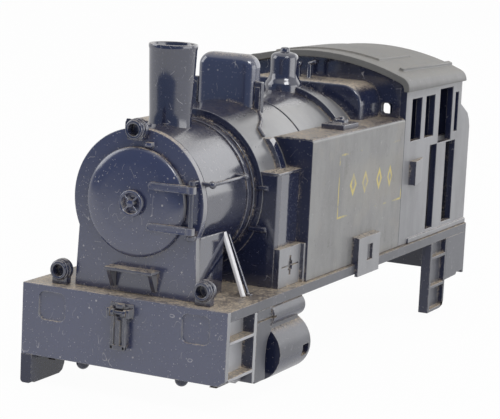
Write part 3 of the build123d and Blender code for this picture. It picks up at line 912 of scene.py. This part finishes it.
# %% Sand valves
PIPE = ((5.7, 29.75, 25.0), (7.3, 27.6, 24.05), (8.45, 24.6, 23.0), (9.5, 24.1, 22.1))
PIPE_RADIUS = 0.28
valve = [block("valve_box", (4.85, 29.6, 24.2), (6.1, 30.6, 29.35)),
         block("valve_plate", (5.0, 29.5, 24.2), (5.85, 29.8, 28.6), 0.08),
         block("valve_cap", (4.95, 29.65, 29.2), (6.0, 30.5, 29.4), 0.05)]
for start, end in zip(PIPE[:-1], PIPE[1:]):
    valve += [rod("pipe", start, end, PIPE_RADIUS, 16), ball("bend", end, PIPE_RADIUS, 16)]
valve_near = weld("sand_valve_and_pipe", valve)
valve_far = mirrored(valve_near, "sand_valve_and_pipe_far")
finish(valve_near, "sand_valve_near", paint_small)
finish(valve_far, "sand_valve_far", paint_small)

# %% [markdown]
# The safety valves sit under a bottle-shaped casing with a nub on top, turned like the chimney: a wide
# foot, a shoulder, a straight neck and a domed top.

# %% Safety valve casing
CASING_FOOT = [(3.1, 25.2), (3.1, 27.0), (2.95, 27.45), (2.6, 27.9), (2.38, 28.4), (2.27, 29.0), (2.27, 31.2)]
CASING_TOP = [(2.22, 31.6), (2.05, 31.92), (1.7, 32.15), (1.2, 32.28), (0.8, 32.36)]
CASING_NUB = [(0.76, 32.5), (0.76, 32.8), (0.68, 32.98), (0.5, 33.08), (0, 33.1)]
casing = turned("valve_casing", CASING_FOOT + CASING_TOP + CASING_NUB, (0, 50.3, 0), angle=50)
finish(casing, "safety_valve", paint_black)

# %% [markdown]
# Two whistles stand on the hump in front of the cab: one with a wide cap, one slim, with a hook at its top.

# %% Whistles
CAPPED = [(0.5, 27.35), (0.42, 27.6), (0.40, 29.1), (0.58, 29.2), (0.62, 29.4), (0.62, 29.7), (0.5, 29.88),
          (0, 29.9)]
SLIM = [(0.5, 27.35), (0.38, 27.6), (0.38, 29.6), (0.3, 29.95), (0, 30.0)]
whistles = [turned("whistle_a", CAPPED, (-2.2, 60.6, 0), sides=28),
            turned("whistle_b", SLIM, (-0.2, 60.6, 0), sides=28),
            rod("whistle_hook", (-0.2, 60.6, 29.75), (1.05, 60.4, 30.15), 0.32, ends=0.12)]
finish(weld("whistles", whistles), "whistle", paint_small)

# %% [markdown]
# The firebox casing is a square-shouldered hump: a box with its two upper edges bevelled wide, and then the
# rim of its front face bevelled fine.

# %% Firebox casing
HUMP_LOW, HUMP_HIGH = (-11.5, 56.0, 21.2), (11.5, 64.0, 27.4)
hump = box("firebox_hump", HUMP_LOW, HUMP_HIGH)
pick(hump, "edges", lambda e: abs(run(e).y) > 0.9 and middle(e).z > 27)
bpy.ops.mesh.bevel(offset=3.6 * MM, segments=14, affect="EDGES")
done()
pick(hump, "edges", lambda e: middle(e).y < HUMP_LOW[1] + 0.01 and abs(run(e).y) < 0.5 and middle(e).z > 21.5)
bpy.ops.mesh.bevel(offset=0.5 * MM, segments=4, affect="EDGES")
done()
outwards(hump)
smooth(hump, 60)
finish(hump, "firebox_casing", paint_hump)

# %% [markdown]
# The lamps are stepped tubes with an open bore, each on a small square foot. The top one is held to the
# smokebox by a bracket. The profile runs forwards from the back over three steps to the mouth, and then
# back down the bore.

# %% Lamps
LAMP_OUTSIDE = [(1.42, -1.9), (1.56, -1.86), (1.62, -1.75), (1.62, -1.2), (1.56, -1.08), (1.42, -1.04),
                (1.40, -0.86), (1.50, -0.80), (1.53, -0.68), (1.53, -0.48), (1.47, -0.40), (1.38, -0.38),
                (1.36, -0.1), (1.30, -0.02), (1.2, 0.0)]
LAMP_BORE = [(0.98, 0.0), (0.91, -0.06), (0.90, -0.2), (0.90, -1.55), (0.5, -1.6), (0, -1.6)]
for node, x, y, z, foot in (("lamp_near", 11.9, 1.3, 2.15, 0.0), ("lamp_far", -11.9, 1.3, 2.15, 0.0),
                            ("lamp_top", -0.1, 1.2, 24.15, 22.6)):
    parts = [turned("lamp_tube", LAMP_OUTSIDE + LAMP_BORE, (x, y, z), forward=True, sides=56, angle=45),
             block("lamp_foot", (x - 1.3, y + 0.6, foot), (x + 1.2, y + 1.9, z - 0.9), 0.12)]
    if node == "lamp_top":
        parts.append(block("lamp_bracket", (-0.9, 2.6, 22.95), (0.9, 4.9, 24.9), 0.12))
    finish(weld(node + "_tube", parts), node, paint_small)

# %% [markdown]
# ## Bars and small fittings
# The handrail is one long rod held off the smokebox by two stems, with a ball for each knob.

# %% Handrail
RAIL_X, RAIL_Z = 11.6, 17.2
KNOB_FRONT, KNOB_BACK = 4.0, 14.4

rail = [rod("rail", (RAIL_X, 3.55, RAIL_Z), (RAIL_X, 15.0, RAIL_Z), 0.27, 18, 0.1)]
for y, radius in ((KNOB_FRONT, 0.56), (KNOB_BACK, 0.5)):
    rail.append(ball("knob", (RAIL_X, y, RAIL_Z), radius))
for y, radius in ((KNOB_FRONT, 0.28), (KNOB_BACK, 0.32)):
    rail.append(rod("stem", (9.3, y, RAIL_Z), (RAIL_X, y, RAIL_Z), radius, 16))
finish(weld("handrail_rod", rail), "handrail", paint_small)

# %% [markdown]
# On each side a flat stay slants from the smokebox down to the plate, painted near white, with a thin black
# brace beside it. A slanting bar is a box turned so that its length lies along the stay and its width along
# the locomotive, as a matrix of the three directions says.

# %% Stays and braces
STAY_TOP, STAY_FOOT = (9.35, 12.49, 9.2), (13.68, 11.32, 0.0)
STAY_WIDTH, STAY_THICKNESS = 0.85, 0.5


def slanting_bar(start, end, wide, thick):
    clear()
    a, b = place(*start), place(*end)
    bpy.ops.mesh.primitive_cube_add(size=1)
    bar = bpy.context.object
    bar.scale = (thick * MM, wide * MM, (b - a).length)
    settle(bar)
    lengthways = (b - a).normalized()
    through = Vector((0, 1, 0)).cross(lengthways).normalized()
    widthways = lengthways.cross(through)
    turn = Matrix((through, widthways, lengthways)).transposed().to_4x4()
    bar.matrix_world = Matrix.Translation((a + b) / 2) @ turn
    settle(bar)
    soften_edges(bar, 0.1, 3)
    smooth(bar)
    return bar


stay_near = slanting_bar(STAY_TOP, STAY_FOOT, STAY_WIDTH, STAY_THICKNESS)
brace_near = weld("brace_near", [rod("brace", (9.1, 14.7, 8.4), (13.95, 12.6, 0.0), 0.22, 16),
                                 block("brace_foot", (13.3, 12.2, 0.0), (14.4, 13.0, 0.3), 0.08)])
for stay, brace, node in (
        (mirrored(stay_near, "stay_far"), mirrored(brace_near, "brace_far"), "smokebox_stay_far"),
        (stay_near, brace_near, "smokebox_stay_near")):
    finish(stay, node, paint_bright)
    dress(brace, node, paint_small)

# %% [markdown]
# Each tank has a square filler frame with a round lid and a small hinge bar across it.

# %% Tank fillers
CAP = [(1.15, 22.45), (1.15, 22.9), (1.08, 23.0), (0.9, 23.04), (0.5, 23.06), (0.46, 23.3), (0.3, 23.42),
       (0, 23.44)]
lid_near = weld("filler_lid", [block("filler_frame", (11.0, 41.7, 21.6), (14.9, 47.6, 22.5), 0.12),
                               turned("filler_cap", CAP, (12.7, 45.6, 0), sides=36),
                               rod("filler_hinge", (11.7, 43.6, 22.52), (13.7, 43.6, 22.52), 0.16, 12, 0.05)])
lid_far = mirrored(lid_near, "filler_lid_far")
finish(lid_near, "tank_filler_near", paint_small)
finish(lid_far, "tank_filler_far", paint_small)

# %% [markdown]
# Two lugs with round ends hang behind the front beam, and two hollow bosses under the plate take the
# fixings of a chassis. All four are turned.

# %% Lugs and bosses
LUG = [(1.0, -1.6), (1.0, -11.6), (0.97, -11.86), (0.87, -12.1), (0.71, -12.31), (0.5, -12.47),
       (0.26, -12.57), (0, -12.6)]
finish(weld("beam_lugs", [turned("lug", LUG, (x, 3.4, 0), sides=32) for x in (8.3, -8.3)]), "front_lugs")

BOSS = [(2.4, -1.5), (2.4, -7.35), (2.3, -7.5), (1.05, -7.5), (0.95, -7.4), (0.95, -1.5)]
bosses = [turned("boss", BOSS, (0, y, 0), sides=40, hollow=True) for y in (12.0, 90.4)]
finish(weld("screw_bosses", bosses), "chassis_bosses")

# %% [markdown]
# The coupling link hangs by two eyes from the hook's pin: two cheeks, a foot that joins them, and a tongue
# between them. An eye is turned upright, brought to the origin, laid across the locomotive by a quarter turn
# and only then moved into place, because a turn goes round the origin.

# %% Coupling link
EYE = (-0.95, -2.1)
EYE_RINGS = [(0.36, 0.0), (0.5, 0.0), (0.55, 0.05), (0.55, 0.45), (0.5, 0.5), (0.36, 0.5)]
link = [block("link_foot", (-1.25, -1.25, -7.6), (1.25, -0.65, -6.9), 0.12),
        block("link_tongue", (-0.3, -1.2, -7.0), (0.3, -0.7, -3.2))]
for low, high in ((0.75, 1.25), (-1.25, -0.75)):
    link.append(block("link_cheek", (low, -1.25, -7.5), (high, -0.65, -2.6)))
    eye = turned("link_eye", EYE_RINGS, (0, 0, 0), sides=28, hollow=True)
    eye.location = -DATUM
    settle(eye)
    eye.rotation_euler = (0, math.radians(90), 0)
    eye.location = place(low, *EYE)
    settle(eye)
    link.append(eye)
finish(weld("link_loop", link), "coupling_link")

# %% [markdown]
# ## Flaws of the moulding
# Along the front top edge of each tank the mould leaked, and left a thin ragged ridge of flash. It is a strip
# cut into many short lengths, whose points are then pushed about a little, always in the same way.

# %% Flash along the tank edges
FLASH_CUTS = 26
FLASH_REACH = 0.10


def flash(name, low, high, seed):
    strip = block(name, low, high, 0)
    edit(strip)
    bpy.ops.mesh.select_all(action="SELECT")
    bpy.ops.mesh.subdivide(number_cuts=FLASH_CUTS)
    done()
    dice = random.Random(seed)
    lumps = {}
    for vertex in strip.data.vertices:
        at = local(vertex.co)
        key = (round(at.x, 1), round(at.y, 1))
        lumps.setdefault(key, (dice.uniform(-1, 1), dice.uniform(-1, 1)))
        lift, push = lumps[key]
        if at.z > (low[2] + high[2]) / 2:
            vertex.co.z += lift * FLASH_REACH * MM
        vertex.co.y += push * FLASH_REACH * 0.6 * MM
    smooth(strip, 50)
    return strip


for node, side in (("side_tank_near", 1), ("side_tank_far", -1)):
    x0, x1 = sorted((side * 10.6, side * 16.1))
    ridge = flash("tank_flash_" + node[10:], (x0, 27.32, 21.55), (x1, 27.6, 21.82), 5 + side)
    dress(ridge, node, paint_frame)
    print(ridge.name, len(ridge.data.polygons), "faces")

# %% [markdown]
# ## Setting
# A plain white table in a white room, as in a light tent, with the dark camera side left open: glossy black
# plastic is only as readable as what it reflects. The table is white to the camera and bright to
# reflections, and to anything else it is plain white paper, which throws back what falls on it.

# %% Table
PAPER = (0.82, 0.82, 0.82, 1)
WHITE = (1, 1, 1, 1)

clear()
bpy.ops.mesh.primitive_plane_add(size=1, location=(0, 0.40, 0))
table = bpy.context.object
table.name = "table_top"
table.scale = (1.6, 1.2, 1)
settle(table)
white = Paint("white_table")
diffuse = white.node("ShaderNodeBsdfDiffuse", None, {"Color": PAPER})
glow = white.node("ShaderNodeEmission", None, {"Color": WHITE, "Strength": 1.0})
camera_ray = white.node("ShaderNodeLightPath", out="Is Camera Ray")
mirror_ray = white.node("ShaderNodeLightPath", out="Is Glossy Ray")
seen = (camera_ray * 0.97 + mirror_ray * 0.74).clamp()
surface = white.node("ShaderNodeMixShader", None, {0: seen, 1: diffuse, 2: glow})
white.node("ShaderNodeOutputMaterial", None, {"Surface": surface})
table.data.materials.append(white.material)
print(table.name, [round(side, 2) for side in table.dimensions[:2]], "m")

# %% [markdown]
# The room is the world's background, and each kind of ray sees it in its own way. The camera sees white.
# What the room lights gets a soft grey level. Reflections show a white room, except towards the camera,
# where it is a dim blue: that is what makes the upright fronts dark and the slanting faces pale.

# %% Room
DIM_SIDE = (0.16, 0.20, 0.30, 1)
SOFT_LEVEL = (0.50, 0.50, 0.52, 1)

world = bpy.data.worlds.new("white_room")
bpy.context.scene.world = world
world.use_nodes = True
room = Nodes(world.node_tree)
_, backwards, upwards = room.split(room.node("ShaderNodeTexCoord", out="Generated"))
camera_ray = room.node("ShaderNodeLightPath", out="Is Camera Ray")
mirror_ray = room.node("ShaderNodeLightPath", out="Is Glossy Ray")
white_part = room.step(backwards, -0.55, -0.05).most(room.step(upwards, 0.55, 0.85))
mirrored_room = room.mix(mirror_ray, SOFT_LEVEL, room.mix(white_part, DIM_SIDE, WHITE))
sky = room.node("ShaderNodeBackground", None,
                {"Color": room.mix(camera_ray, mirrored_room, WHITE), "Strength": 1.0})
room.node("ShaderNodeOutputWorld", None, {"Surface": sky})
print(world.name, "ready")

# %% [markdown]
# Four soft cards of light complete the tent: a wide one behind, which the boiler and the roof mirror, one on
# the near side for the rubbed sides, and two small ones at the front left and above for short highlights.
# A card is described by how white it looks, and its power follows from its area.

# %% Lamps of the studio
AIM = Vector((0, 0, 0.025))


def studio_lamp(name, where, size, whiteness):
    """A soft card of light, where a whiteness of 1 is that of paper."""
    clear()
    bpy.ops.object.light_add(type="AREA", location=where)
    lamp = bpy.context.object
    lamp.name = name
    lamp.data.shape = "RECTANGLE"
    lamp.data.size, lamp.data.size_y = size
    lamp.data.energy = whiteness * math.pi * size[0] * size[1]
    lamp.rotation_euler = (Vector(where) - AIM).to_track_quat("Z", "Y").to_euler()
    print(name, "of", round(lamp.data.energy, 3), "W")


studio_lamp("back_card", (0.16, 0.60, 0.20), (0.60, 0.36), 1.15)
studio_lamp("side_card", (0.50, 0.06, 0.12), (0.46, 0.22), 1.5)
studio_lamp("left_lamp", (-0.36, -0.15, 0.20), (0.24, 0.24), 2.2)
studio_lamp("top_lamp", (0.20, -0.17, 0.31), (0.16, 0.10), 7.0)

# %% [markdown]
# The camera stands in front and to the right of the smokebox, a little above the running plate, with a long
# lens from less than a third of a metre, and leans slightly. Its three directions come from the two angles
# of its view and from the lean, and they are the columns of its matrix.

# %% Camera
AZIMUTH, ELEVATION, LEAN = (math.radians(v) for v in (26.051, 9.655, 2.798))
TARGET = place(19.623, 0, 15.166)
DISTANCE = 0.282722
SENSOR, LENS = 36, 147.0055

view_way = Vector((-math.sin(AZIMUTH) * math.cos(ELEVATION), math.cos(AZIMUTH) * math.cos(ELEVATION),
                   -math.sin(ELEVATION)))
level_right = Vector((math.cos(AZIMUTH), math.sin(AZIMUTH), 0))
level_up = level_right.cross(view_way)
right = math.cos(LEAN) * level_right + math.sin(LEAN) * level_up
up = -math.sin(LEAN) * level_right + math.cos(LEAN) * level_up
turn = Matrix((right, up, -view_way)).transposed().to_4x4()
clear()
bpy.ops.object.camera_add()
camera = bpy.context.object
camera.matrix_world = Matrix.Translation(TARGET - view_way * DISTANCE) @ turn
camera.data.sensor_width = SENSOR
camera.data.lens = LENS
camera.data.clip_start = 0.01
bpy.context.scene.camera = camera
bpy.context.scene.view_settings.view_transform = "Standard"
print("lens", round(camera.data.lens, 1), "mm")
